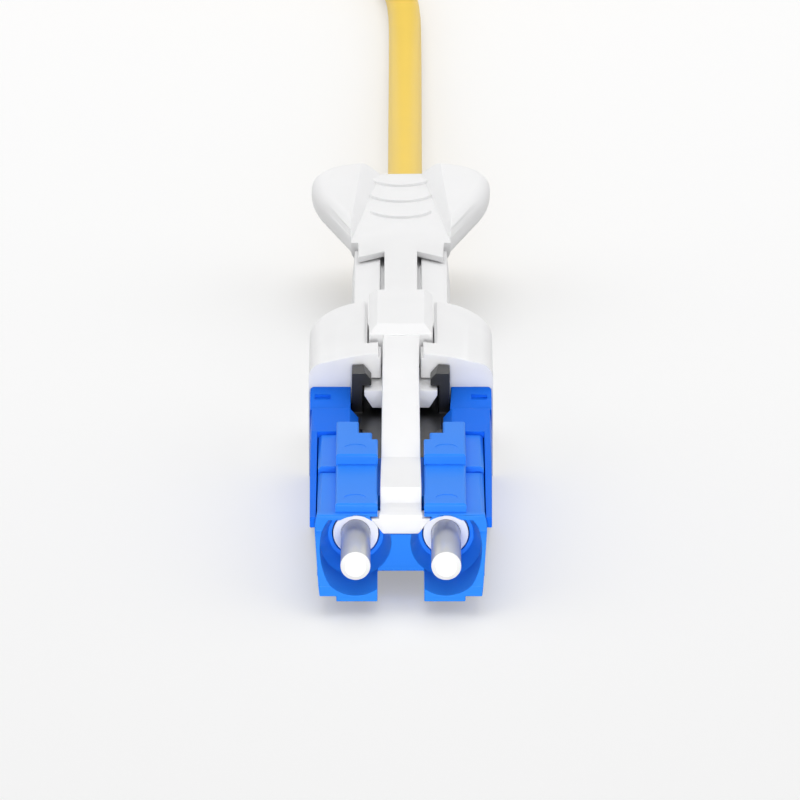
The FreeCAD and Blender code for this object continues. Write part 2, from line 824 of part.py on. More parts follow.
def make_outer_housing(plug):
    body = new_body(f"{plug.prefix}outer_housing", plug)
    bottom = -S.sleeve_depth
    front = LIP_REAR + S.fit_gap
    half_wall = [(S.sleeve_half, bottom), (S.sleeve_half, S.sleeve_bend), (S.sleeve_top_half, S.plate_top)]
    section = half_wall + [(-as_size(x), z) for x, z in reversed(half_wall)]
    along_y(body, "sleeve", front, S.sleeve_rear, section)
    bevel_half = S.step_half - S.step_bevel
    step = [
        (-S.step_half, 0),
        (S.step_half, 0),
        (S.step_half, S.step_top - S.step_bevel),
        (bevel_half, S.step_top),
        (-bevel_half, S.step_top),
        (-S.step_half, S.step_top - S.step_bevel),
    ]
    along_y(body, "step", S.plate_step, S.sleeve_rear, step)
    over_step = [
        (S.plate_step, S.step_low),
        (S.sleeve_rear, S.step_top),
        (S.plate_step, S.step_top),
    ]
    along_x(body, "over_step", -S.sleeve_half, S.sleeve_half, over_step, cut=True)

    body_room = box(-CAVITY_HALF, CAVITY_HALF, -S.core_depth - S.sole_depth - S.fit_gap, S.plate_top)
    along_y(body, "body_room", S.front_plane, S.ear_front, body_room, cut=True)
    ear_bottom = S.ledge_height + S.fit_gap
    under_ear = box(-CAVITY_HALF, CAVITY_HALF, -S.core_depth - S.sole_depth - S.fit_gap, ear_bottom)
    along_y(body, "under_ear", S.ear_front, PLATE_FRONT, under_ear, cut=True)
    back_half = S.sleeve_half - S.sleeve_wall
    back_room = box(-back_half, back_half, -S.core_depth - S.fit_gap, BACK_ROOM_TOP)
    along_y(body, "back_room", S.front_plane, S.sleeve_rear, back_room, cut=True)
    under_arm = [
        (S.front_plane, S.arm_nose),
        (front, S.arm_nose),
        (S.arm_floor_front, bottom),
        (S.front_plane, bottom),
    ]
    along_x(body, "under_arm", -S.sleeve_half, S.sleeve_half, under_arm, cut=True)
    over_arm = [
        (front, S.arm_front_top),
        (S.high_ledge_front, S.ledge_height),
        (S.ear_front, S.plate_top),
        (front, S.plate_top),
    ]
    along_x(body, "over_arm", -S.sleeve_half, S.sleeve_half, over_arm, cut=True)
    beside_arm = [(S.sleeve_front_half, front), (S.sleeve_half, S.sleeve_rear), (S.sleeve_half, front)]
    along_z(body, "beside_arm", bottom, S.plate_top, beside_arm, mirrored(beside_arm), cut=True)
    channel = [
        (-S.channel_half, BACK_ROOM_TOP),
        (S.channel_half, BACK_ROOM_TOP),
        (S.slope_half, S.plate_top),
        (-S.slope_half, S.plate_top),
    ]
    along_y(body, "channel", S.ear_front, S.plate_step, channel, cut=True)
    hook_half = S.hook_outer + S.fit_gap
    hook_room = box(-hook_half, hook_half, 0, S.step_top)
    along_y(body, "hook_room", S.plate_step, S.sleeve_rear, hook_room, cut=True)
    slot_outer = S.pick_slot_inner + S.pick_slot_width
    slot = box(S.pick_slot_inner, slot_outer, S.step_top - S.pick_slot_depth, S.step_top)
    slot_rear = S.pick_slot_front + S.pick_slot_length
    along_y(body, "pick_slot", S.pick_slot_front, slot_rear, slot, mirrored(slot), cut=True)


# Back body and crimp sleeve

def make_back_body(plug):
    body = new_body(f"{plug.prefix}back_body", plug)
    half = S.sleeve_half - S.sleeve_wall - S.fit_gap
    block = box(-half, half, -S.core_depth, S.back_top)
    along_y(body, "block", PLATE_FRONT, S.back_rear, block)
    axis = S.pitch / 2
    rings = [(axis * sign, 0, S.collar_radius) for sign in SIDES.values()]
    along_y(body, "spigots", SPRING_SEAT, PLATE_FRONT, rings=rings)
    tail = box(-S.tail_half, S.tail_half, -S.tail_depth, S.back_top)
    along_y(body, "tail", S.hook_front, S.tail_rear, tail)
    along_y(body, "post", S.tail_rear, S.post_rear, rings=[(0, 0, S.post_radius)])
    hook = [
        (HOOK_INNER, 0),
        (S.hook_outer, 0),
        (S.hook_outer, S.hook_outer_top),
        (S.hook_peak_half, S.hook_peak),
        (S.hook_beak_inner, S.hook_peak - S.hook_chamfer),
        (S.hook_beak_inner, BEAK_BOTTOM),
        (HOOK_INNER, BEAK_BOTTOM),
    ]
    along_y(body, "hooks", S.hook_front, S.back_rear, hook, mirrored(hook))
    over_hook = [
        (S.hook_front, S.hook_front_top),
        (S.back_rear, S.hook_peak),
        (S.hook_front, S.hook_peak),
    ]
    along_x(body, "over_hooks", -S.hook_outer, S.hook_outer, over_hook, cut=True)
    along_z(body, "shelf", S.shelf_bottom, S.shelf_top, shelf_plan(S.fit_gap, S.plate_step))

    half_height = S.manifold_height / 2
    manifold_half = S.tail_half - S.manifold_wall
    manifold = box(-manifold_half, manifold_half, -half_height, half_height)
    along_y(body, "manifold", PLATE_FRONT, S.tail_rear - S.manifold_wall, manifold, cut=True)
    holes = [(axis * sign, 0, S.hub_radius) for sign in SIDES.values()]
    along_y(body, "fibre_holes", COLLAR_REAR, PLATE_FRONT + S.manifold_wall, rings=holes, cut=True)
    along_y(body, "post_hole", S.back_rear, S.post_rear, rings=[(0, 0, S.post_bore)], cut=True)


def make_crimp_sleeve(plug):
    body = new_body(f"{plug.prefix}crimp_sleeve", plug)
    neck_bore = S.cord_radius + S.bond_gap
    turned(
        body,
        "sleeve",
        [
            (CRIMP_FRONT, CRIMP_BORE),
            (CRIMP_FRONT, CRIMP_RADIUS),
            (CRIMP_STEP, CRIMP_RADIUS),
            (CRIMP_STEP, neck_bore + S.crimp_wall),
            (CRIMP_REAR, neck_bore + S.crimp_wall),
            (CRIMP_REAR, neck_bore),
            (S.post_rear + S.bond_gap, neck_bore),
            (S.post_rear + S.bond_gap, CRIMP_BORE),
        ],
    )


# Rear housing

def make_rear_housing(plug):
    body = new_body(f"{plug.prefix}rear_housing", plug)
    rise = S.shoulder_top - S.shoulder_side
    crown = (S.shoulder_half * S.shoulder_half + rise * rise) / (rise * 2)
    arch = [
        (-S.shoulder_half, FLOOR),
        (S.shoulder_half, FLOOR),
        (S.shoulder_half, S.shoulder_side, crown, -1),
        (-S.shoulder_half, S.shoulder_side),
    ]
    along_y(body, "arch", S.sleeve_rear, S.shoulder_rear, arch)

    def rear_corner(edge):
        return runs_along(edge, Vector(0, 0, 1)) and ends_at(edge, y=S.shoulder_rear)

    round_edges(body, "corner_round", S.shoulder_corner, rear_corner)

    def roof_rim(edge):
        at_front = ends_at(edge, y=S.sleeve_rear)
        return not at_front and all(v.Point.z > S.shoulder_side.value - 0.001 for v in edge.Vertexes)

    round_edges(body, "roof_round", S.shoulder_round, roof_rim)
    room_half = S.shoulder_half - S.shoulder_wall
    wing_slot_rear = S.wing_rear + S.tab_travel + S.slide_gap
    room = box(-room_half, room_half, -S.core_depth - S.fit_gap, BACK_ROOM_TOP)
    along_y(body, "back_room", S.sleeve_rear, BACK_ROOM_REAR, room, cut=True)
    wing_slot = box(-HOOK_INNER, HOOK_INNER, S.back_top, BEAK_BOTTOM)
    along_y(body, "wing_slot", S.sleeve_rear, wing_slot_rear, wing_slot, cut=True)
    window_front = S.block_front - S.shoulder_wall
    window_bottom = S.block_bottom - S.slide_gap
    openings = [
        ("bar_slot", S.bar_waist_half + S.slide_gap, S.back_top, S.sleeve_rear, window_front),
        ("window", S.block_half + S.slide_gap, window_bottom, window_front, S.shoulder_rear),
    ]
    for name, half, low, y0, y1 in openings:
        along_y(body, name, y0, y1, box(-half, half, low, S.shoulder_top), cut=True)
        rim_half = half + S.slot_rim
        rim = box(-rim_half, rim_half, S.shoulder_top - S.slot_rim_depth, S.shoulder_top)
        along_y(body, f"{name}_rim", y0, y1, rim, cut=True)
    boot_hole = [(0, 0, S.boot_spigot + S.fit_gap)]
    along_y(body, "boot_hole", BACK_ROOM_REAR, S.shoulder_rear, rings=boot_hole, cut=True)


# Strain boot

def make_strain_boot(plug):
    body = new_body(f"{plug.prefix}strain_boot", plug)
    half_neck = [(S.boot_foot_half, FLOOR), (S.boot_half, S.boot_bend), (S.boot_top_half, S.boot_top)]
    neck = half_neck + [(-as_size(x), z) for x, z in reversed(half_neck)]
    along_y(body, "neck", S.shoulder_rear, S.boot_rear, neck)
    spigot_front = S.shoulder_rear - S.boot_spigot_length
    along_y(body, "spigot", spigot_front, S.shoulder_rear, rings=[(0, 0, S.boot_spigot)])
    along_y(body, "tail", S.boot_rear, BOOT_TAIL_REAR, rings=[(0, 0, S.boot_tail_radius)])
    channel_half = S.strip_half + S.strip_gap
    channel = box(-channel_half, channel_half, STRIP_CHANNEL, S.strip_top)
    along_y(body, "strip_channel", S.shoulder_rear, S.boot_rear, channel, cut=True)
    socket = [(0, 0, BOOT_SOCKET)]
    along_y(body, "crimp_socket", spigot_front, CRIMP_REAR + S.fit_gap, rings=socket, cut=True)
    along_y(body, "cord_way", spigot_front, BOOT_TAIL_REAR, rings=[(0, 0, CORD_BORE)], cut=True)


# Pull tab

def make_pull_tab(plug):
    body = new_body(f"{plug.prefix}pull_tab", plug)
    head_middle = (S.head_bottom + S.ledge_height) / 2
    block_middle = (S.block_front + S.block_rear) / 2
    bar = [
        (S.head_front, head_middle),
        (HEAD_REAR, head_middle),
        (HEAD_REAR, BAR_BOTTOM),
        (S.bar_flat_rear, BAR_BOTTOM),
        (PLATE_FRONT, S.wing_bottom),
        (S.wing_rear, S.wing_bottom),
        (S.wing_rear, S.block_bottom),
        (block_middle, S.block_bottom),
        (block_middle, S.bar_top),
        (S.block_front, S.bar_top),
        (S.bar_ramp_rear, S.bar_ramp_top),
        (S.bar_flat_rear, S.bar_flat_top),
        (S.bar_flat_front, S.bar_flat_top),
        (S.bar_lip_rear, S.bar_lip_top),
        (S.head_front, S.bar_nose_top),
    ]
    along_x(body, "bar", -S.bar_half, S.bar_half, bar)
    waist = [
        (S.bar_half, S.bar_flat_front),
        (S.bar_half, S.block_front),
        (S.bar_waist_half, S.block_front),
        (S.bar_waist_half, PLATE_FRONT),
    ]
    along_z(body, "waist", 0, S.block_top, waist, mirrored(waist), cut=True)
    head = [
        (-S.head_bottom_half, S.head_bottom),
        (S.head_bottom_half, S.head_bottom),
        (S.head_top_half, S.ledge_height - S.slide_gap),
        (-S.head_top_half, S.ledge_height - S.slide_gap),
    ]
    along_y(body, "head", S.head_front, HEAD_REAR, head)
    head_step = box(-S.head_step_half, S.head_step_half, head_middle, S.head_step_top)
    along_y(body, "head_step", S.head_front, S.head_front + S.head_step_length, head_step)
    wing = [
        (-S.wing_flat, S.wing_bottom),
        (S.wing_flat, S.wing_bottom),
        (S.wing_half, S.wing_bottom + S.wing_chamfer),
        (S.wing_half, S.wing_top),
        (-S.wing_half, S.wing_top),
        (-S.wing_half, S.wing_bottom + S.wing_chamfer),
    ]
    along_y(body, "wings", S.wing_front, S.wing_rear, wing)
    block = [
        (-S.block_half, S.block_bottom),
        (S.block_half, S.block_bottom),
        (S.block_half, S.block_side_top),
        (S.block_crown_half, S.block_top),
        (-S.block_crown_half, S.block_top),
        (-S.block_half, S.block_side_top),
    ]
    along_y(body, "block", S.block_front, S.block_rear, block)
    crown_slope = [
        (S.block_front, S.block_side_top),
        (S.block_front + S.block_crown_slope, S.block_top),
        (S.block_front, S.block_top),
    ]
    along_x(body, "crown_slope", -S.block_half, S.block_half, crown_slope, cut=True)
    strip_step = S.shoulder_rear + S.slide_gap
    strip = [
        (block_middle, S.block_bottom),
        (strip_step, S.block_bottom),
        (strip_step, S.strip_bottom),
        (S.grip_neck_rear, S.strip_bottom),
        (S.grip_neck_rear, S.strip_top),
        (block_middle, S.strip_top),
    ]
    along_x(body, "strip", -S.strip_half, S.strip_half, strip)
    make_grip(body)


def make_grip(body):
    """The bone-shaped finger grip at the back of the pull tab."""
    plan = [
        (S.grip_neck_half, S.grip_front),
        (S.grip_neck_half, S.grip_neck_rear),
        (S.grip_flare_half, S.grip_flare_rear, S.grip_flank_radius, -1),
        (S.grip_half, S.grip_lobe_front, S.grip_lobe_radius, -1),
        (S.grip_flat_half, S.plug_length),
        (-S.grip_flat_half, S.plug_length, S.grip_lobe_radius, -1),
        (-S.grip_half, S.grip_lobe_front, S.grip_flank_radius, -1),
        (-S.grip_flare_half, S.grip_flare_rear),
        (-S.grip_neck_half, S.grip_neck_rear),
        (-S.grip_neck_half, S.grip_front),
    ]
    along_z(body, "grip", S.grip_bottom, S.grip_side_top, plan)

    def outer_rim(edge, z):
        return ends_at(edge, z=z) and not ends_at(edge, y=S.grip_front)

    round_edges(body, "grip_round", S.grip_round, lambda e: outer_rim(e, S.grip_side_top))
    round_edges(body, "grip_foot_round", S.grip_foot_round, lambda e: outer_rim(e, S.grip_bottom))

    def trough(floor_half, floor, top_half):
        """The saddle's section: a flat floor between two sloping sides."""
        return [
            (-floor_half, floor),
            (floor_half, floor),
            (top_half, S.grip_side_top),
            (-top_half, S.grip_side_top),
        ]

    front_trough = trough(S.saddle_front_floor, S.strip_top, S.saddle_front_half)
    rear_trough = trough(S.saddle_rear_floor, S.strip_top - S.saddle_fall, S.saddle_rear_half)
    lofted_cut(body, "saddle", S.grip_front, front_trough, S.plug_length, rear_trough)
    tongue = [
        (-S.tongue_half, S.tongue_front),
        (-S.strip_half, S.tongue_middle),
        (S.strip_half, S.tongue_middle),
        (S.tongue_half, S.tongue_front),
        (S.tongue_half, S.grip_neck_rear),
        (-S.tongue_half, S.grip_neck_rear),
    ]
    along_z(body, "tongue", S.boot_top + S.slide_gap, S.strip_top, tongue)
    for number in range(3):
        rib_ends = S.rib_first + S.rib_spacing * number
        rib = [(-S.rib_half, rib_ends, S.rib_radius, -1), (S.rib_half, rib_ends)]
        share = (rib_ends - S.grip_front) / (S.plug_length - S.grip_front)
        floor = S.strip_top - S.saddle_fall * share
        along_z(body, f"rib_{number + 1}", floor - S.rib_height, floor + S.rib_height, rib)


# Cord, hank and tie

def racetrack(half_width, half_straight, centre):
    """The outline of a hank seen from above: two straight sides joined by round ends."""
    front, back = centre - half_straight, centre + half_straight
    radius = half_width
    return [
        (half_width, front),
        (half_width, back, radius, -1),
        (0, back + radius, radius, -1),
        (-half_width, back),
        (-half_width, front, radius, -1),
        (0, front - radius, radius, -1),
    ]


def make_hank():
    body = new_body("cord_hank")
    diameter = S.cord_radius * 2
    inner = S.hank_fold_radius - S.cord_radius
    outer = inner + diameter * S.hank_columns
    top = S.tie_thickness + diameter * S.hank_layers
    half_straight = S.hank_straight / 2
    bottom = S.tie_thickness
    along_z(body, "turns", bottom, top, racetrack(outer, half_straight, S.hank_centre))
    along_z(body, "eye", bottom, top, racetrack(inner, half_straight, S.hank_centre), cut=True)

    tie = new_body("hank_tie")
    room = outer + S.fit_gap
    front = S.hank_centre - S.tie_width / 2
    wall = S.tie_thickness - S.fit_gap
    inside_top = top + S.fit_gap
    band = box(-room - wall, room + wall, 0, inside_top + wall)
    along_y(tie, "band", front, front + S.tie_width, band)
    hole = box(-room, room, wall, inside_top)
    along_y(tie, "hole", front, front + S.tie_width, hole, cut=True)


def make_cord():
    """The stretches of cord that aren't coiled, from each plug's crimp post to the hank."""
    cord_start = S.post_rear + S.fit_gap
    near_start = (cord_start - MIDDLE).value
    far_start = (S.far_tip - cord_start).value
    height = S.axis_height.value
    near_route = [
        Vector(0, near_start, height),
        Vector(0.01, 13.5, 2.32),
        Vector(0.2, 24.5, 2.28),
        Vector(0.2, 38, 1.6),
        Vector(0.22, 49, 0.9),
        Vector(0.2, 62, 0.82),
        Vector(-1.5, 68, 0.85),
        Vector(-4.8, 73.7, 1.2),
    ]
    far_route = [
        Vector(-6.4, 99.3, 1.2),
        Vector(-5.9, 104.4, 0.95),
        Vector(-3.5, 109.5, 1.1),
        Vector(-0.9, 114.1, 1.9),
        Vector(0, 118.7, 2.3),
        Vector(0.02, 130.1, 2.33),
        Vector(0, far_start, height),
    ]
    tube("cord_run_near", near_route, S.cord_radius.value)
    tube("cord_run_far", far_route, S.cord_radius.value)


for plug in (Plug("", False), Plug("far_", True)):
    for side in SIDES:
        make_ferrule(plug, side)
        make_flange(plug, side)
        make_spring(plug, side)
        make_fibre(plug, side)
    make_front_body(plug)
    make_outer_housing(plug)
    make_back_body(plug)
    make_crimp_sleeve(plug)
    make_rear_housing(plug)
    make_strain_boot(plug)
    make_pull_tab(plug)
make_hank()
make_cord()
doc.recompute()

for item in doc.Objects:
    if {"Invalid", "Error"} & set(item.State):
        raise RuntimeError(f"{item.Label} failed: {item.State}")
for item in doc.Objects:
    if item.TypeId == "PartDesign::Pocket" and item.BaseFeature.Shape.Volume - item.Shape.Volume < 1e-6:
        raise RuntimeError(f"{item.Label} in {item.getParentGeoFeatureGroup().Label} cuts nothing")
for label, piece in nodes.items():
    if piece.Shape.isNull() or not piece.Shape.isValid() or len(piece.Shape.Solids) != 1:
        raise RuntimeError(f"{label} is not one valid solid")
for label, piece in nodes.items():
    piece.Shape.exportStep(f"parts/{label}.step")
print(f"{len(nodes)} sub-parts written")
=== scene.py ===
import math

import bmesh
import bpy
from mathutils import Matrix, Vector
from mathutils.geometry import intersect_point_line


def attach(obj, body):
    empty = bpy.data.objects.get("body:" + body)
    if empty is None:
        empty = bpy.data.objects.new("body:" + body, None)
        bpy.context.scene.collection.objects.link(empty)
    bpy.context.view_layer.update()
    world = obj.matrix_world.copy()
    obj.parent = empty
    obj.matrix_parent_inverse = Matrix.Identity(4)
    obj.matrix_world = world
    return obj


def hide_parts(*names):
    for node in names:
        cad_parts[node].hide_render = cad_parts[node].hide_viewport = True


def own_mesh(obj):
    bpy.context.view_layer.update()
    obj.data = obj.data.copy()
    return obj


# Lengths are in millimetres and take MM where Blender reads them
MM = 0.001

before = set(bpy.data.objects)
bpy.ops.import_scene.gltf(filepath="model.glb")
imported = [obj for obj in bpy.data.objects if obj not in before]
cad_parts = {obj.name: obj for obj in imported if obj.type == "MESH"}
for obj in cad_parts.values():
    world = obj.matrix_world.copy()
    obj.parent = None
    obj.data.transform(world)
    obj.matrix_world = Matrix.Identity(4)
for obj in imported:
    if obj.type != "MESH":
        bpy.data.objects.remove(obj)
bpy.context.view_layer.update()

# The photographed plug lies about the origin; the far plug is turned about Z at the cord's other end
PLUG_MIDDLE = 22.5
FAR_TIP = 165.3
AXIS_HEIGHT = 2.3
CORD_START = 25.55
FERRULE_LENGTH = 4.0
PREFIXES = ("", "far_")
SIDES = ("left", "right")
ROOT = "cord_and_housings"


# Shader nodes

def set_socket(tree, socket, value):
    """Link a socket to another one, or give it a value."""
    if isinstance(value, bpy.types.NodeSocket):
        tree.links.new(value, socket)
    else:
        socket.default_value = value


def add_node(tree, kind, settings=None, **values):
    """A node with its settings, and its inputs by name with underscores for spaces."""
    node = tree.nodes.new(kind)
    for name, value in (settings or {}).items():
        setattr(node, name, value)
    for name, value in values.items():
        set_socket(tree, node.inputs[name.replace("_", " ")], value)
    return node


def math_node(tree, operation, *values):
    """The result of a sum on sockets and numbers."""
    node = add_node(tree, "ShaderNodeMath", {"operation": operation})
    for socket, value in zip(node.inputs, values):
        set_socket(tree, socket, value)
    return node.outputs[0]


def map_range(tree, value, **ends):
    """A value moved from one range to another, 0 to 1 where none is given."""
    return add_node(tree, "ShaderNodeMapRange", Value=value, **ends).outputs["Result"]


def grey(level):
    """A grey as a colour with its alpha."""
    return (level, level, level, 1)


def mix_colour(tree, factor, first, second):
    """A colour between two others."""
    node = add_node(tree, "ShaderNodeMix", {"data_type": "RGBA"}, Factor=factor)
    set_socket(tree, node.inputs["A"], first)
    set_socket(tree, node.inputs["B"], second)
    return node.outputs["Result"]


def object_place(tree):
    """The separate coordinates of a point on the object."""
    where = add_node(tree, "ShaderNodeTexCoord").outputs["Object"]
    return add_node(tree, "ShaderNodeSeparateXYZ", Vector=where).outputs


# Shader group

def new_group(name, inputs, outputs):
    """An empty shader group with its sockets, and its input and output nodes."""
    group = bpy.data.node_groups.new(name, "ShaderNodeTree")
    for label, kind, value in inputs:
        socket = group.interface.new_socket(label, in_out="INPUT", socket_type=kind)
        socket.default_value = value
    for label, kind in outputs:
        group.interface.new_socket(label, in_out="OUTPUT", socket_type=kind)
    return group, group.nodes.new("NodeGroupInput"), group.nodes.new("NodeGroupOutput")


def moulded_skin_group():
    """The skin of a moulded piece: a fine spark-eroded grain and slow, faint flow marks."""
    group, given, result = new_group(
        "moulded_skin",
        [
            ("Colour", "NodeSocketColor", grey(0.8)),
            ("Grain size", "NodeSocketFloat", 9000.0),
            ("Flow size", "NodeSocketFloat", 260.0),
            ("Flow tint", "NodeSocketFloat", 0.06),
            ("Roughness", "NodeSocketFloat", 0.4),
            ("Roughness spread", "NodeSocketFloat", 0.1),
        ],
        [
            ("Colour", "NodeSocketColor"),
            ("Roughness", "NodeSocketFloat"),
            ("Height", "NodeSocketFloat"),
        ],
    )
    where = add_node(group, "ShaderNodeTexCoord").outputs["Object"]
    grain = add_node(
        group,
        "ShaderNodeTexNoise",
        Vector=where,
        Scale=given.outputs["Grain size"],
        Detail=2.0,
        Roughness=0.6,
    )
    flow = add_node(
        group,
        "ShaderNodeTexNoise",
        Vector=where,
        Scale=given.outputs["Flow size"],
        Detail=3.0,
        Roughness=0.55,
        Distortion=0.8,
    )
    centred = math_node(group, "SUBTRACT", flow.outputs["Fac"], 0.5)
    tint = math_node(group, "MULTIPLY_ADD", centred, given.outputs["Flow tint"], 1.0)
    toned = add_node(group, "ShaderNodeVectorMath", {"operation": "SCALE"}, Scale=tint)
    group.links.new(given.outputs["Colour"], toned.inputs[0])
    spread = math_node(
        group, "MULTIPLY_ADD", centred, given.outputs["Roughness spread"], given.outputs["Roughness"]
    )
    group.links.new(toned.outputs[0], result.inputs["Colour"])
    group.links.new(spread, result.inputs["Roughness"])
    group.links.new(grain.outputs["Fac"], result.inputs["Height"])
    return group


moulded_skin = moulded_skin_group()


# Materials

def new_material(name):
    """A material with only its shader, its node tree and the shader."""
    material = bpy.data.materials.new(name)
    material.use_nodes = True
    return material, material.node_tree, material.node_tree.nodes["Principled BSDF"]


def moulded(name, colour, roughness, grain_depth, **shader_values):
    """A material with the moulded skin in the given colour, and other inputs of its shader by name."""
    material, tree, shader = new_material(name)
    settings = {"node_tree": moulded_skin, "name": "skin"}
    look = add_node(tree, "ShaderNodeGroup", settings, Colour=(*colour, 1), Roughness=roughness)
    bump = add_node(
        tree, "ShaderNodeBump", Strength=0.25, Distance=grain_depth * MM, Height=look.outputs["Height"]
    )
    tree.links.new(look.outputs["Colour"], shader.inputs["Base Color"])
    tree.links.new(look.outputs["Roughness"], shader.inputs["Roughness"])
    tree.links.new(bump.outputs["Normal"], shader.inputs["Normal"])
    for label, value in shader_values.items():
        shader.inputs[label.replace("_", " ")].default_value = value
    return material


def woven_tape():
    """Black tape in a basket weave with a short fuzz, whose threads run along and across the band."""
    thread_pitch = 0.3 * MM
    fuzz_share = 0.6
    material = moulded("woven_tie", (0.012, 0.012, 0.013), 0.85, 0.09, Specular_IOR_Level=0.25)
    tree = material.node_tree
    skin = tree.nodes["skin"]
    bump = tree.nodes["Bump"]
    place = object_place(tree)
    round_band = math_node(tree, "ADD", place["X"], place["Z"])
    waves = [
        math_node(tree, "SINE", math_node(tree, "MULTIPLY", way, math.pi / thread_pitch))
        for way in (place["Y"], round_band)
    ]
    weave = map_range(tree, math_node(tree, "MULTIPLY", *waves), From_Min=-1.0)
    tone = mix_colour(tree, weave, grey(0.006), (0.03, 0.03, 0.032, 1))
    tree.links.new(tone, skin.inputs["Colour"])
    fuzz = math_node(tree, "MULTIPLY", skin.outputs["Height"], fuzz_share)
    tree.links.new(math_node(tree, "ADD", weave, fuzz), bump.inputs["Height"])
    bump.inputs["Strength"].default_value = 0.8
    return material


def ceramic_with_painted_shade():
    """Ceramic with painted shade on its ground side, grey and darkest towards the flange as painted shadow
    from the housing, and the white of the ceramic on its polished end face.
    """
    material = moulded("ceramic_with_painted_shade", (0.5, 0.5, 0.5), 0.22, 0.001, Coat_Weight=0.2)
    tree = material.node_tree
    between_plugs = (FAR_TIP - PLUG_MIDDLE) / 2 * MM
    to_tip = (FAR_TIP + PLUG_MIDDLE) / 2 * MM
    from_middle = math_node(tree, "SUBTRACT", object_place(tree)["Y"], between_plugs)
    # Painted shadow: share runs from 0 at the flange to 1 near the tip, so the side darkens where the
    # housing shades it.
    share = map_range(
        tree,
        math_node(tree, "ABSOLUTE", from_middle),
        From_Min=to_tip - FERRULE_LENGTH * MM,
        From_Max=to_tip - 0.1 * MM,
    )
    # Painted shade: the side is grey, 0.45 at the flange and 0.56 near the tip, where the ceramic itself is
    # white.
    side = mix_colour(tree, share, grey(0.45), grey(0.56))
    # The end face, found by its normal along Y, keeps the ceramic's white; every other face gets the
    # painted shade.
    normal = add_node(tree, "ShaderNodeNewGeometry").outputs["Normal"]
    facing = add_node(tree, "ShaderNodeSeparateXYZ", Vector=normal).outputs["Y"]
    end_face = map_range(tree, math_node(tree, "ABSOLUTE", facing), From_Min=0.6, From_Max=0.95)
    colour = mix_colour(tree, end_face, side, grey(0.95))
    tree.links.new(colour, tree.nodes["skin"].inputs["Colour"])
    return material


blue_plastic = moulded("blue_moulded_plastic", (0.022, 0.235, 0.9), 0.42, 0.006, Specular_IOR_Level=0.14)
# Painted shade: a darker copy of the blue for the outer housing, whose plate lies behind the latches and
# under the shoulder.
shaded_blue_plastic = moulded("shaded_blue_plastic", (0.008, 0.165, 0.86), 0.45, 0.006, Specular_IOR_Level=0.05)
white_plastic = moulded(
    "white_moulded_plastic",
    (0.88, 0.88, 0.885),
    0.45,
    0.006,
    Specular_IOR_Level=0.3,
    Subsurface_Weight=0.4,
    Subsurface_Scale=0.7 * MM,
    Subsurface_Radius=(1, 1, 1),
)
black_plastic = moulded("black_moulded_plastic", (0.01, 0.01, 0.01), 0.3, 0.006, Specular_IOR_Level=0.5)
# Painted light: the flange's white is made whiter than the other white mouldings, 0.97 against 0.88, to
# lift the shade in its recess under the lip.
flange_plastic_painted_light = moulded("flange_moulding", (0.97, 0.97, 0.96), 0.4, 0.004)
spring_steel = moulded("drawn_spring_steel", (0.6, 0.6, 0.6), 0.3, 0.002, Metallic=1.0)
crimp_metal = moulded("plated_crimp_metal", (0.72, 0.68, 0.55), 0.32, 0.004, Metallic=1.0)
jacket = moulded("extruded_cord_jacket", (0.93, 0.66, 0.13), 0.36, 0.008, Specular_IOR_Level=0.06)
buffer_coat = moulded("fibre_buffer_coat", (0.85, 0.62, 0.05), 0.4, 0.002)
tie_cloth = woven_tape()
ceramic = ceramic_with_painted_shade()

FINISHES = {
    "front_body": blue_plastic,
    "outer_housing": shaded_blue_plastic,
    "ferrule_left": ceramic,
    "ferrule_right": ceramic,
    "ferrule_flange_left": flange_plastic_painted_light,
    "ferrule_flange_right": flange_plastic_painted_light,
    "ferrule_spring_left": spring_steel,
    "ferrule_spring_right": spring_steel,
    "back_body": black_plastic,
    "crimp_sleeve": crimp_metal,
    "rear_housing": white_plastic,
    "strain_boot": white_plastic,
    "pull_tab": white_plastic,
    "fibre_left": buffer_coat,
    "fibre_right": buffer_coat,
}


def finish_nodes():
    """Give each CAD node of the plugs its finish."""
    for prefix in PREFIXES:
        for name, material in FINISHES.items():
            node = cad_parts[prefix + name]
            node.data.materials.clear()
            node.data.materials.append(material)


finish_nodes()


# Mesh pieces

def mesh_piece(work, name, material):
    """An object from finished geometry."""
    mesh = bpy.data.meshes.new(name)
    work.to_mesh(mesh)
    work.free()
    mesh.materials.append(material)
    piece = bpy.data.objects.new(name, mesh)
    bpy.context.collection.objects.link(piece)
    return piece


def skin_rings(work, rings):
    """Close a row of rings into a solid with smooth sides and flat ends."""
    for ring, following in zip(rings, rings[1:]):
        for number in range(len(ring)):
            after = (number + 1) % len(ring)
            face = work.faces.new((ring[number], ring[after], following[after], following[number]))
            face.smooth = True
    work.faces.new(rings[0])
    work.faces.new(rings[-1])
    bmesh.ops.recalc_face_normals(work, faces=work.faces[:])


# Mouldings with rounded edges

EDGE_RADIUS = 0.04
EDGE_ROOM = 2.5 * EDGE_RADIUS
WELD_DISTANCE = 0.004
SHARP_ANGLE = math.radians(35)
CREASE_ANGLE = math.radians(8)
FLAT_ANGLE = math.radians(0.6)
MOULDINGS = {
    "front_body": "blue_moulding",
    "outer_housing": "blue_moulding",
    "back_body": "black_moulding",
    "rear_housing": "white_moulding",
    "strain_boot": "white_moulding",
    "pull_tab": "white_moulding",
}


def is_crease(edge, shade):
    """Whether the faces beside an edge are shaded apart, as where two surfaces of the CAD meet."""
    if len(edge.link_faces) != 2:
        return True
    for corner in edge.verts:
        normals = [loop[shade] for face in edge.link_faces for loop in face.loops if loop.vert == corner]
        if normals[0].angle(normals[1], 0) > CREASE_ANGLE:
            return True
    return False


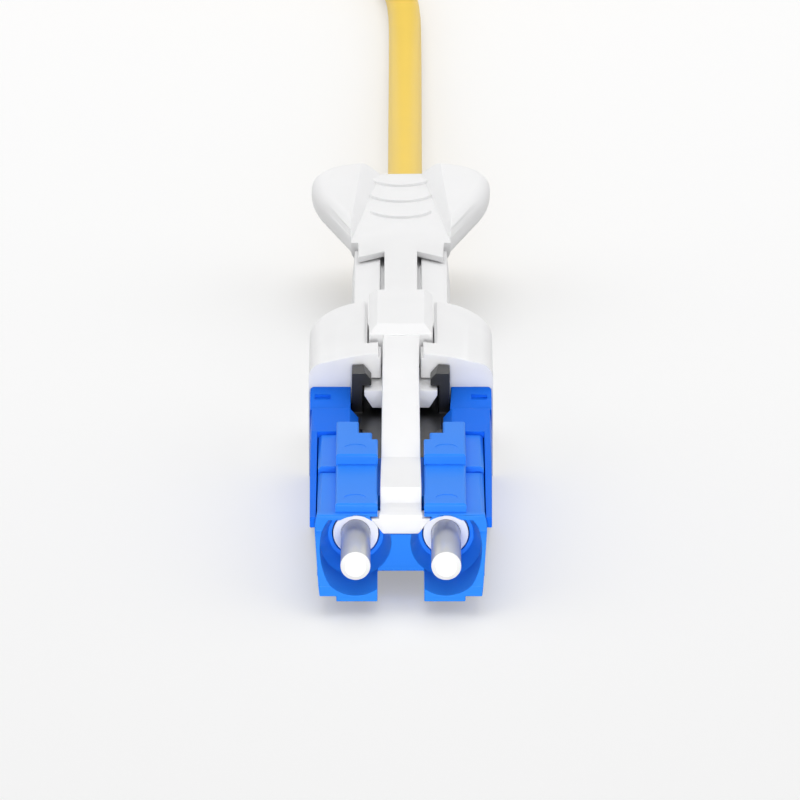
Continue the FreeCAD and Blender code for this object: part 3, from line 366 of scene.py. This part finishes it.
def has_room(edge):
    """Whether the edges at an edge's ends are long enough, and its faces wide enough, for its round."""
    room = EDGE_ROOM * MM
    near = {other for corner in edge.verts for other in corner.link_edges}
    if min(other.calc_length() for other in near) < room:
        return False
    middle = (edge.verts[0].co + edge.verts[1].co) / 2
    across = {other for face in edge.link_faces for other in face.edges} - near
    for other in across:
        start, end = (corner.co for corner in other.verts)
        share = intersect_point_line(middle, start, end)[1]
        if (start.lerp(end, min(max(share, 0), 1)) - middle).length < room:
            return False
    return True


def clean_solid(node):
    """A node's geometry with its corners welded, its creases marked and its flat faces whole."""
    solid = node.data.copy()
    shading = solid.attributes.new("shading", "FLOAT_VECTOR", "CORNER")
    for corner, normal in zip(shading.data, solid.corner_normals):
        corner.vector = normal.vector
    work = bmesh.new()
    work.from_mesh(solid)
    bpy.data.meshes.remove(solid)
    shade = work.loops.layers.float_vector["shading"]
    bmesh.ops.remove_doubles(work, verts=work.verts[:], dist=WELD_DISTANCE * MM)
    for face in work.faces:
        face.smooth = True
    for edge in work.edges:
        edge.smooth = not is_crease(edge, shade)
    work.loops.layers.float_vector.remove(shade)
    bmesh.ops.dissolve_limit(
        work,
        angle_limit=FLAT_ANGLE,
        use_dissolve_boundaries=False,
        verts=work.verts[:],
        edges=work.edges[:],
        delimit={"SHARP"},
    )
    return work


def rounded_moulding(prefix, name, slot):
    """A moulded piece in its node's place, with the small round that a mould leaves on each sharp edge."""
    work = clean_solid(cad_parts[prefix + name])
    weight = work.edges.layers.float.new("bevel_weight_edge")
    for edge in work.edges:
        if not edge.smooth and edge.calc_face_angle(0) > SHARP_ANGLE and has_room(edge):
            edge[weight] = 1.0
    piece = mesh_piece(work, f"{prefix}{name}_moulding", FINISHES[name])
    rounding = piece.modifiers.new("rounded_edges", "BEVEL")
    rounding.width = EDGE_RADIUS * MM
    rounding.segments = 2
    rounding.limit_method = "WEIGHT"
    rounding.use_clamp_overlap = False
    rounding.harden_normals = True
    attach(piece, prefix + name if name == "pull_tab" else ROOT)
    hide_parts(prefix + name)
    return piece


mouldings = {prefix: [rounded_moulding(prefix, *row) for row in MOULDINGS.items()] for prefix in PREFIXES}


# Ferrule springs

SPRING_WIRE = 0.3
SPRING_TURNS = 6
SPRING_STEPS = 24
SPRING_GAP = 0.02
WIRE_SIDES = 10


def spring_coil(prefix, side):
    """A round-wire coil in its node's place."""
    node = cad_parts[f"{prefix}ferrule_spring_{side}"]
    low, high = (Vector([pick(axis) for axis in zip(*node.bound_box)]) / MM for pick in (min, max))
    length = high.y - low.y
    centre = (low + high) / 2
    wire_radius = SPRING_WIRE / 2
    radius = (high.x - low.x) / 2 - wire_radius
    start = low.y + wire_radius + SPRING_GAP
    rise = length - 2 * (wire_radius + SPRING_GAP)
    steps = SPRING_TURNS * SPRING_STEPS
    work = bmesh.new()
    rings = []
    for step in range(steps + 1):
        angle = math.tau * step / SPRING_STEPS
        out = Vector((math.cos(angle), 0, -math.sin(angle)))
        middle = Vector((centre.x, start + rise * step / steps, centre.z)) + out * radius
        ring = []
        for number in range(WIRE_SIDES):
            turned = math.tau * number / WIRE_SIDES
            offset = out * math.cos(turned) + Vector((0, math.sin(turned), 0))
            ring.append(work.verts.new((middle + offset * wire_radius) * MM))
        rings.append(ring)
    skin_rings(work, rings)
    coil = mesh_piece(work, f"{prefix}ferrule_coil_{side}", spring_steel)
    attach(coil, ROOT)
    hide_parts(node.name)
    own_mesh(coil)
    return coil


springs = {prefix: [spring_coil(prefix, side) for side in SIDES] for prefix in PREFIXES}


# Cord

CORD_RADIUS = 0.8
HANK_CENTRE = 87.5
HANK_HALF_STRAIGHT = 9.0
INNER_FOLD = 4.8
OUTER_FOLD = 6.4
FIRST_LAYER = 1.2
INNER_TURNS = 7
OUTER_TURNS = 5
FOLD_STEPS = 6
TURN_CORNERS = 2 * (3 + FOLD_STEPS)


def layer(number):
    """The height of the middle of a layer of the hank, counted from 1."""
    return FIRST_LAYER + 2 * CORD_RADIUS * (number - 1)


def ramp(share, start, end):
    """0 before start, 1 after end, and a straight rise between them."""
    return min(max((share - start) / (end - start), 0), 1)


def fold(end, start_radius, end_radius):
    """The corners round one end of the hank, whose sides touch the fold's circle. End is 1 at the back."""
    step = math.pi / FOLD_STEPS
    centre = HANK_CENTRE + end * HANK_HALF_STRAIGHT
    corners = []
    for number in range(FOLD_STEPS):
        angle = step * (number + 0.5)
        share = (number + 0.5) / FOLD_STEPS
        radius = (start_radius + (end_radius - start_radius) * share) / math.cos(step / 2)
        corners.append((-end * radius * math.cos(angle), centre + end * radius * math.sin(angle)))
    return corners


def straight(side, radius):
    """The corners along one side of the hank, in the winding direction: -1 is the side that runs back."""
    reach = HANK_HALF_STRAIGHT - radius * math.tan(math.pi / FOLD_STEPS / 2)
    return [(side * radius, HANK_CENTRE - side * step * reach) for step in (-1, 0, 1)]


def turn(radius, next_radius, height):
    """One turn of the hank, from the front of its left side, at a height that depends on the corner."""
    back = straight(-1, radius) + fold(1, radius, radius)
    front = straight(1, radius) + fold(-1, radius, next_radius)
    return [(x, y, height(number / TURN_CORNERS)) for number, (x, y) in enumerate(back + front)]


def climbing(number):
    """The height along an inner turn, which climbs to the next layer after the back fold."""
    climb = layer(number + 1) - layer(number) if number < INNER_TURNS else 0
    return lambda share: layer(number) + climb * ramp(share, 10 / TURN_CORNERS, 15 / TURN_CORNERS)


def falling(number):
    """The height along an outer turn, which falls two layers on the left and climbs one on the right."""

    def height(share):
        fall = ramp(share, 0, 9 / TURN_CORNERS)
        rise = ramp(share, 12 / TURN_CORNERS, 15 / TURN_CORNERS)
        return layer(number + 2) - (layer(3) - layer(1)) * fall + (layer(2) - layer(1)) * rise

    return height


def hank_points():
    """The wound part of the cord: up the inner turns, then down the outer ones, over the incoming cord."""
    points = []
    for number in range(1, INNER_TURNS + 1):
        next_radius = INNER_FOLD if number < INNER_TURNS else OUTER_FOLD
        points += turn(INNER_FOLD, next_radius, climbing(number))
    for number in range(OUTER_TURNS, 0, -1):
        points += turn(OUTER_FOLD, OUTER_FOLD, falling(number))
    drop = layer(2) - layer(1)
    for (x, y), share in zip(straight(-1, OUTER_FOLD), (0, 0.6, 1)):
        points.append((x, y, layer(2) - drop * share))
    return points


def cord_points():
    """The cord's route from the photographed plug's crimp to the far plug's."""
    near = [
        (0, CORD_START - PLUG_MIDDLE, AXIS_HEIGHT),
        (0.01, 13.5, 2.32),
        (0.2, 24.5, 2.28),
        (0.2, 38, 1.6),
        (0.22, 49, 0.9),
        (0.2, 62, 0.82),
        (-1.5, 68, 0.85),
        (-4.8, 73.7, 1.2),
    ]
    far = [
        (-6.4, 99.3, 1.2),
        (-5.9, 104.4, 0.95),
        (-3.5, 109.5, 1.1),
        (-0.9, 114.1, 1.9),
        (0, 118.7, 2.3),
        (0.02, 130.1, 2.33),
        (0, FAR_TIP - CORD_START, AXIS_HEIGHT),
    ]
    return near + hank_points() + far


def make_cord():
    """The yellow cord as one curve, in place of its three nodes."""
    curve = bpy.data.curves.new("patch_cord", "CURVE")
    curve.dimensions = "3D"
    curve.bevel_depth = CORD_RADIUS * MM
    curve.bevel_resolution = 6
    curve.resolution_u = 6
    curve.use_fill_caps = True
    spline = curve.splines.new("NURBS")
    route = cord_points()
    spline.points.add(len(route) - 1)
    for point, place in zip(spline.points, route):
        point.co = (*(Vector(place) * MM), 1)
    spline.order_u = 3
    spline.use_endpoint_u = True
    curve.materials.append(jacket)
    cord = bpy.data.objects.new("patch_cord", curve)
    bpy.context.collection.objects.link(cord)
    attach(cord, ROOT)
    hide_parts("cord_run_near", "cord_hank", "cord_run_far")
    return cord


# Hank tie

TIE_HALF_WIDTH = 2.5
TIE_THICKNESS = 0.3
TIE_CLEARANCE = 0.05
TIE_CORNER = CORD_RADIUS + TIE_CLEARANCE + TIE_THICKNESS / 2
TIE_CORNER_STEPS = 6
TIE_SAG = 0.3
TIE_START = -2.5
TIE_END = 5.0
TIE_END_ROUND = 1.2
TIE_LIFT = TIE_THICKNESS + 0.02
TIE_LIFT_START = -5.8
TIE_LIFT_END = -3.2
TIE_STEP = 0.2


def tie_top(start, end, lift):
    """Stations of the tie along the hank's top, where it sags a little over the hank's eye."""
    stations = []
    for number in range(1, round((end - start) / TIE_STEP) + 1):
        x = start + number * TIE_STEP
        sag = TIE_SAG * max(0, 1 - (x / INNER_FOLD) ** 2) ** 2
        share = ramp(x, TIE_LIFT_START, TIE_LIFT_END)
        rise = lift * share * share * (3 - 2 * share)
        stations.append((x, layer(INNER_TURNS) + TIE_CORNER - sag + rise, 0, 1))
    return stations


def tie_stations():
    """Places round the hank with their outward directions, from under the tie's end and over it again."""
    stations = tie_top(TIE_START, OUTER_FOLD - TIE_STEP, 0)
    corners = [(1, INNER_TURNS, 90), (1, 1, 0), (-1, 1, -90), (-1, INNER_TURNS, -180)]
    for side, number, start in corners:
        for step in range(TIE_CORNER_STEPS + 1):
            angle = math.radians(start - 90 * step / TIE_CORNER_STEPS)
            out_x, out_z = math.cos(angle), math.sin(angle)
            x = side * OUTER_FOLD + TIE_CORNER * out_x
            stations.append((x, layer(number) + TIE_CORNER * out_z, out_x, out_z))
    return stations + tie_top(-OUTER_FOLD, TIE_END, TIE_LIFT)


def tie_section(half_width):
    """The tie's cross-section, with rounded edges and thicker selvedges: its outer side, then its inner."""
    half = TIE_THICKNESS / 2
    edge = [(0, 0), (0.06, 0.7 * half), (0.18, half), (0.45, half), (0.6, 0.75 * half)]
    left = [(inset - half_width, height) for inset, height in edge]
    outer = left + [(-across, height) for across, height in reversed(left)]
    return outer + [(across, -height) for across, height in reversed(outer[1:-1])]


def make_tie():
    """The woven tie round the hank, with its rounded end laid over its start."""
    stations = tie_stations()
    work = bmesh.new()
    rings = []
    for number, (x, z, out_x, out_z) in enumerate(stations):
        to_end = (len(stations) - 1 - number) * TIE_STEP
        short = max(TIE_END_ROUND - to_end, 0)
        half_width = TIE_HALF_WIDTH - TIE_END_ROUND + math.sqrt(TIE_END_ROUND**2 - short**2)
        ring = []
        for across, height in tie_section(half_width):
            place = Vector((x + out_x * height, HANK_CENTRE + across, z + out_z * height))
            ring.append(work.verts.new(place * MM))
        rings.append(ring)
    skin_rings(work, rings)
    tie = mesh_piece(work, "woven_tie", tie_cloth)
    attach(tie, ROOT)
    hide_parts("hank_tie")
    return tie


cord = make_cord()
tie = make_tie()


# Stage, light and camera, in metres

FLOOR_REACH = 4.0
FLOOR_LIT_TONE = 0.55
FLOOR_SEEN_TONE = 0.62
FLOOR_SEEN_GLOW = 0.36
WORLD_LIGHT = 0.28
WORLD_SEEN = 1.0


def seen_rays(tree):
    """1 for a ray that the background is seen by, directly, in gloss or through glass, else 0."""
    path = tree.nodes.new("ShaderNodeLightPath")
    shown = path.outputs["Is Camera Ray"]
    for ray in ("Is Transmission Ray", "Is Glossy Ray"):
        shown = math_node(tree, "MAXIMUM", shown, path.outputs[ray])
    return shown


def make_floor():
    """A pale floor that shows white to the camera and keeps the object's shadow."""
    mesh = bpy.data.meshes.new("floor")
    corners = [(x * FLOOR_REACH, y * FLOOR_REACH, 0) for x, y in ((-1, -1), (1, -1), (1, 1), (-1, 1))]
    mesh.from_pydata(corners, [], [(0, 1, 2, 3)])
    floor = bpy.data.objects.new("floor", mesh)
    bpy.context.collection.objects.link(floor)
    material, tree, shader = new_material("pale_floor")
    shown = seen_rays(tree)
    tone = mix_colour(tree, shown, grey(FLOOR_LIT_TONE), grey(FLOOR_SEEN_TONE))
    glow = math_node(tree, "MULTIPLY", shown, FLOOR_SEEN_GLOW)
    tree.links.new(tone, shader.inputs["Base Color"])
    tree.links.new(glow, shader.inputs["Emission Strength"])
    shader.inputs["Emission Color"].default_value = grey(1)
    shader.inputs["Roughness"].default_value = 0.9
    shader.inputs["Specular IOR Level"].default_value = 0.0
    mesh.materials.append(material)
    return floor


def make_world():
    """A white surround that lights less than it shows."""
    world = bpy.data.worlds.new("studio")
    bpy.context.scene.world = world
    world.use_nodes = True
    tree = world.node_tree
    background = tree.nodes["Background"]
    background.inputs["Color"].default_value = grey(1)
    strength = map_range(tree, seen_rays(tree), To_Min=WORLD_LIGHT, To_Max=WORLD_SEEN)
    tree.links.new(strength, background.inputs["Strength"])


def area_light(name, place, target, size, energy):
    """A round softbox at a place, turned to a target."""
    data = bpy.data.lights.new(name, "AREA")
    data.shape = "DISK"
    data.size = size
    data.energy = energy
    light = bpy.data.objects.new(name, data)
    light.location = place
    light.rotation_euler = (Vector(target) - Vector(place)).to_track_quat("-Z", "Y").to_euler()
    light.visible_camera = False
    bpy.context.collection.objects.link(light)
    return light


def keep_off(light, unlit):
    """Let a light that stands close to the floor shine on everything but the floor."""
    receivers = bpy.data.collections.new(f"{light.name}_receivers")
    receivers.objects.link(unlit)
    receivers.collection_objects[0].light_linking.link_state = "EXCLUDE"
    light.light_linking.receiver_collection = receivers


def make_lights(floor):
    """Softboxes at both sides, in front and above, and a small card low in front of the plug."""
    for side, hand in zip((-1, 1), SIDES):
        area_light(f"side_softbox_{hand}", (side * 0.45, 0.03, 0.3), (0, 0, 0), size=0.6, energy=0.85)
    area_light("front_softbox", (0, -0.55, 0.4), (0, 0, 0), size=0.4, energy=0.2)
    area_light("top_softbox", (0, 0.1, 0.25), (0, 0.02, 0), size=0.25, energy=0.36)
    card = area_light("front_card", (0, -0.08, 0.01), (0, -0.02, 0.003), size=0.016, energy=0.027)
    keep_off(card, floor)


def make_camera():
    """A long lens in front of the ferrule tips, 20 degrees above the floor. Places are in millimetres."""
    tilt = math.radians(20)
    distance = 400
    shift_up = 6.98
    tips = Vector((-0.036, -PLUG_MIDDLE, AXIS_HEIGHT))
    forward = Vector((0, math.cos(tilt), -math.sin(tilt)))
    up = Vector((0, math.sin(tilt), math.cos(tilt)))
    data = bpy.data.cameras.new("camera")
    data.sensor_width = 36.0
    data.lens = 430.6
    data.clip_start = 0.01
    data.clip_end = 20.0
    camera = bpy.data.objects.new("camera", data)
    camera.location = (tips - forward * distance + up * shift_up) * MM
    camera.rotation_euler = forward.to_track_quat("-Z", "Y").to_euler()
    bpy.context.collection.objects.link(camera)
    bpy.context.scene.camera = camera


studio_floor = make_floor()
make_world()
make_lights(studio_floor)
make_camera()
bpy.context.scene.view_settings.view_transform = "Standard"
